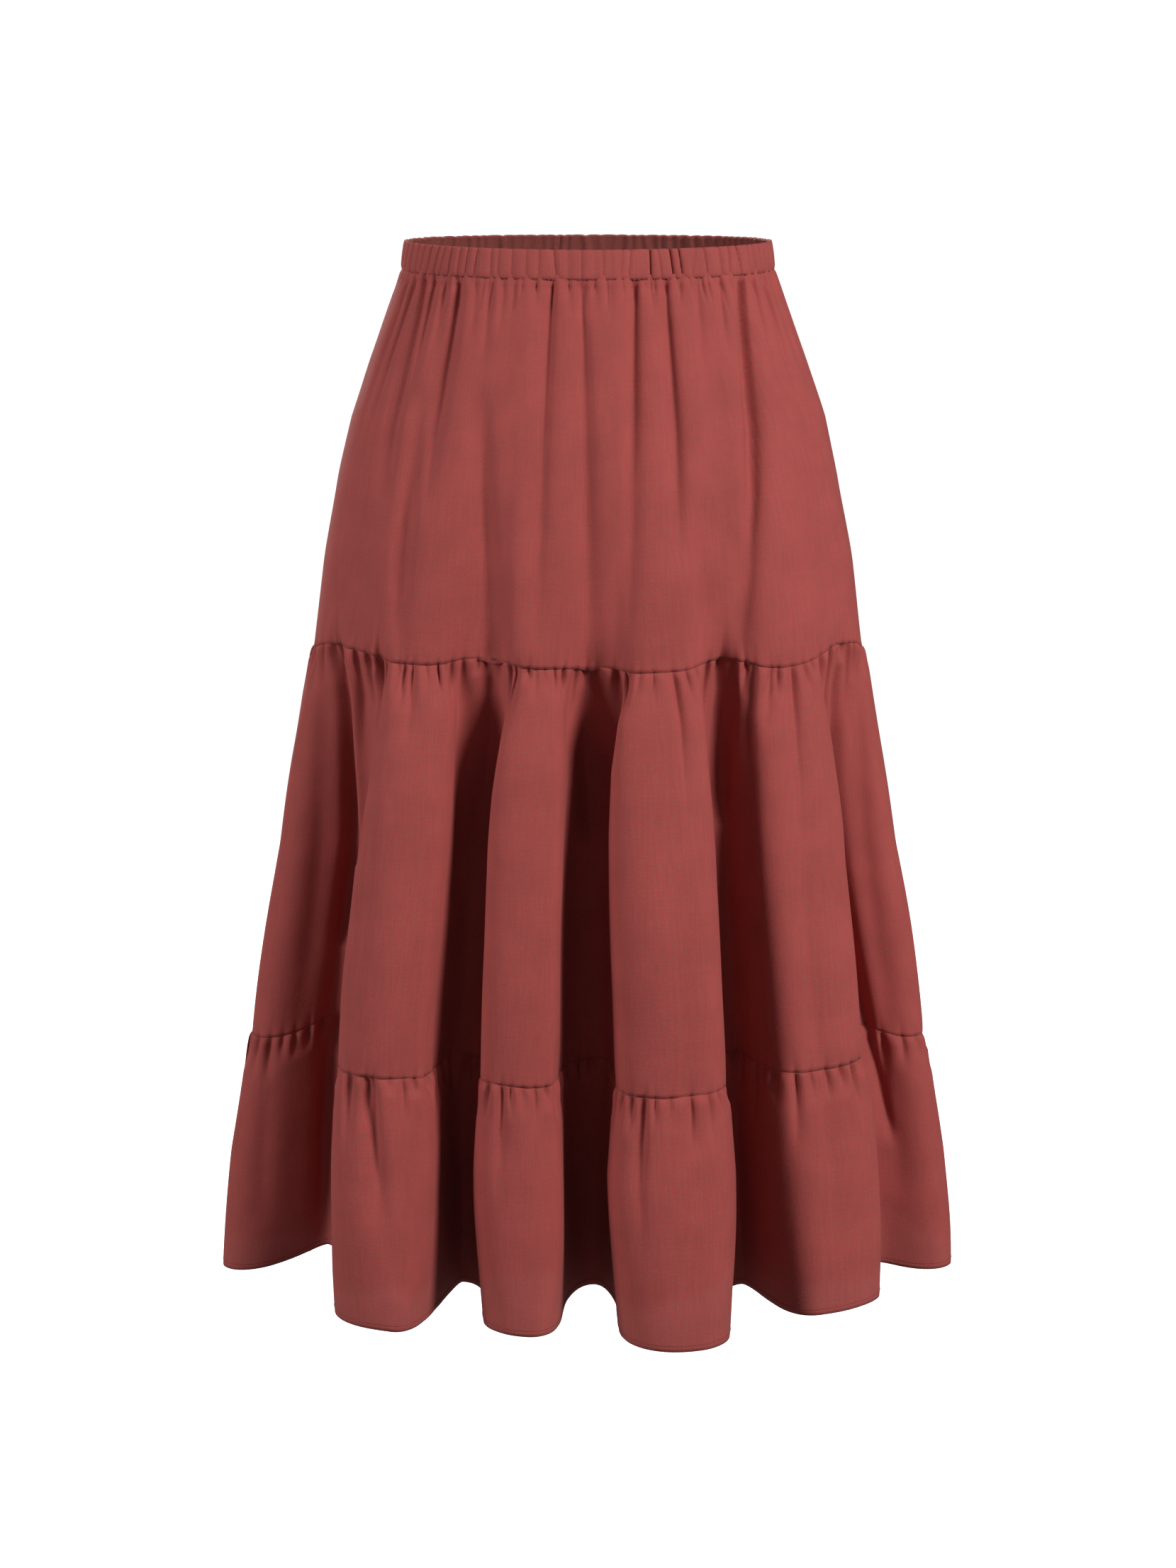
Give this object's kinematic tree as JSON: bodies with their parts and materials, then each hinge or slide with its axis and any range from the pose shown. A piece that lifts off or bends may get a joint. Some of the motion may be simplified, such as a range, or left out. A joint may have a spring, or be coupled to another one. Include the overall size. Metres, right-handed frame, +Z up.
{
  "type": "tiered ruffle skirt",
  "caption": "Midi skirt worn on a hollow form: gathered elastic waistband, smooth hip tier, full gathered middle tier and a gathered ruffle at the hem.",
  "frame": {"origin": "middle of the waist opening, halfway up the waistband, where the wearer's waist holds the skirt", "axes": "+Z up, the front faces -Y, +X is the right-hand side as seen from the front"},
  "size_m": [0.5438, 0.3321, 0.7691],
  "materials": {
    "crepe": "matte brick-red crepe, slightly sheer in one layer",
    "casing": "the same crepe, ruched over elastic"
  },
  "bodies": {
    "root": {"waistband_front": "casing", "waistband_back": "casing", "tier_1_front": "crepe", "tier_1_back": "crepe", "tier_2_front": "crepe", "tier_2_back": "crepe", "tier_3_front": "crepe", "tier_3_back": "crepe"}
  },
  "joints": []
}
